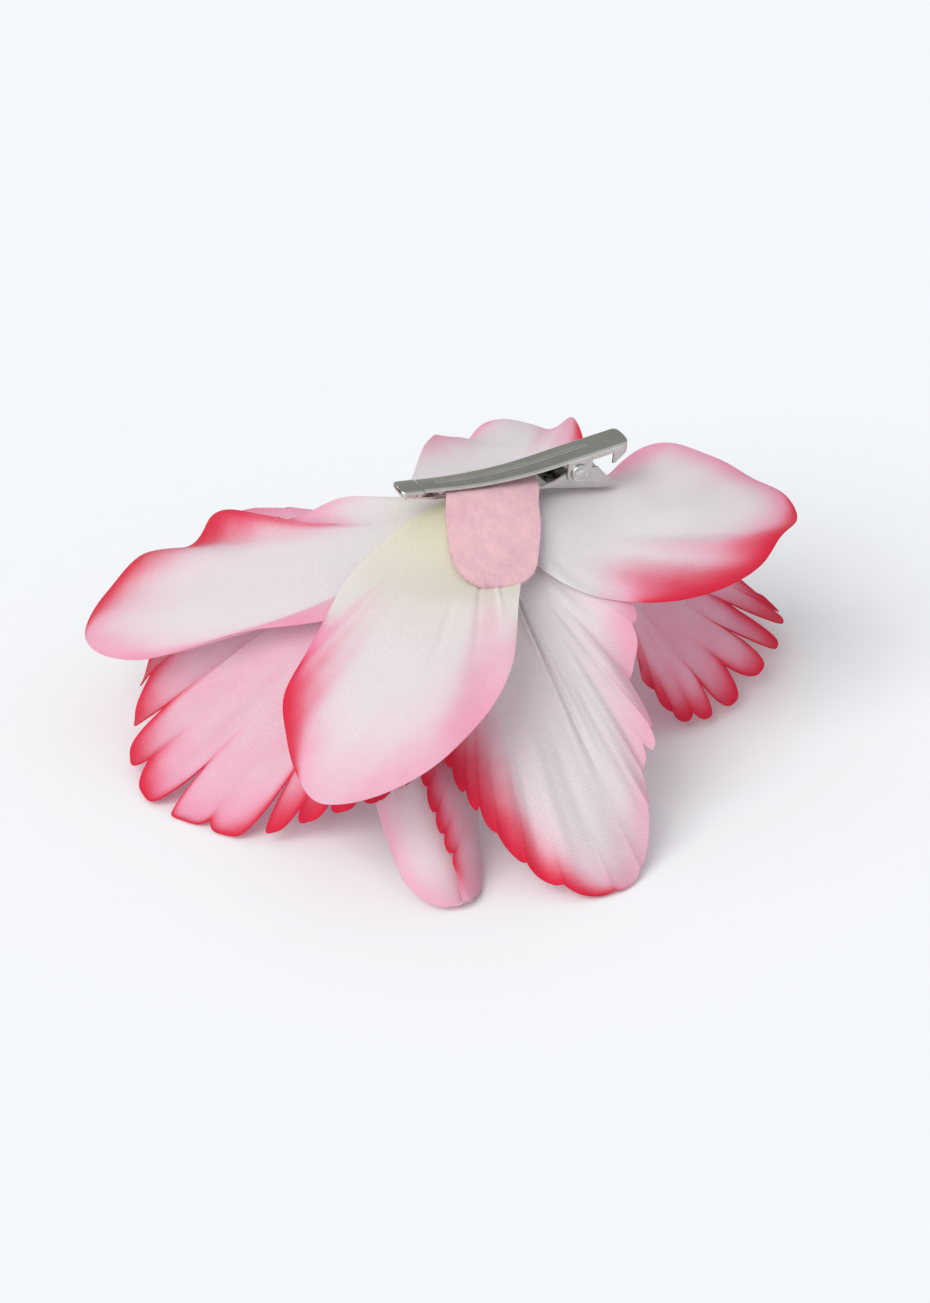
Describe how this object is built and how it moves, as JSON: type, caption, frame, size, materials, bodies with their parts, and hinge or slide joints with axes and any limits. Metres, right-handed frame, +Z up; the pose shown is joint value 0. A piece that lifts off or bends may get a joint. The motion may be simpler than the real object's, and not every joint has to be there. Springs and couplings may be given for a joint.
{
  "type": "flower hair clip",
  "caption": "Fabric orchid lying face down, with a sprung alligator clip glued under a felt patch on its back.",
  "frame": {"origin": "middle of the flower's plan, on the table it lies on", "axes": "+X along the flower's width towards the clip's thumb end, +Y towards the back sepal, +Z up from the table through the flower's back"},
  "size_m": [0.1452, 0.1346, 0.0596],
  "materials": {
    "lever_plate": "worn bright nickel plate on pressed steel",
    "jaw_plate": "bright nickel plate on pressed steel",
    "rivet_plate": "bright nickel plate",
    "spring_wire": "drawn spring wire",
    "felt": "thin pressed felt",
    "glue": "hot-melt glue",
    "stem_plastic": "moulded, pale green",
    "calyx_plastic": "moulded, green",
    "column_plastic": "moulded, cream",
    "cap_plastic": "moulded, yellow",
    "sepal_fabric": "stiffened ribbed fabric, white with pink edges",
    "petal_fabric": "stiffened ribbed fabric, pink with red fringed edges",
    "lip_fabric": "stiffened ribbed fabric, pale pink with a red edge"
  },
  "bodies": {
    "flower": {"lower_jaw": "jaw_plate", "pivot_rivet": "rivet_plate", "torsion_spring": "spring_wire", "felt_patch": "felt", "glue_pad": "glue", "stem_peg": "stem_plastic", "calyx_disc": "calyx_plastic", "column": "column_plastic", "anther_cap": "cap_plastic", "sepal_front": "sepal_fabric", "sepal_left": "sepal_fabric", "sepal_right": "sepal_fabric", "sepal_back": "sepal_fabric", "petal_left": "petal_fabric", "petal_front": "petal_fabric", "petal_right": "petal_fabric", "lip": "lip_fabric"},
    "lever": {"upper_lever": "lever_plate"}
  },
  "joints": [
    {"name": "clip_pivot", "type": "hinge", "parent": "flower", "child": "lever", "pos_m": [0.02667, 0.01278, 0.05439], "axis": [-0.4067, 0.9135, 0], "range_deg": [0, 25], "stiffness_Nm_per_rad": 0.06, "springref_deg": -28.65, "deforming": ["torsion_spring"]}
  ]
}
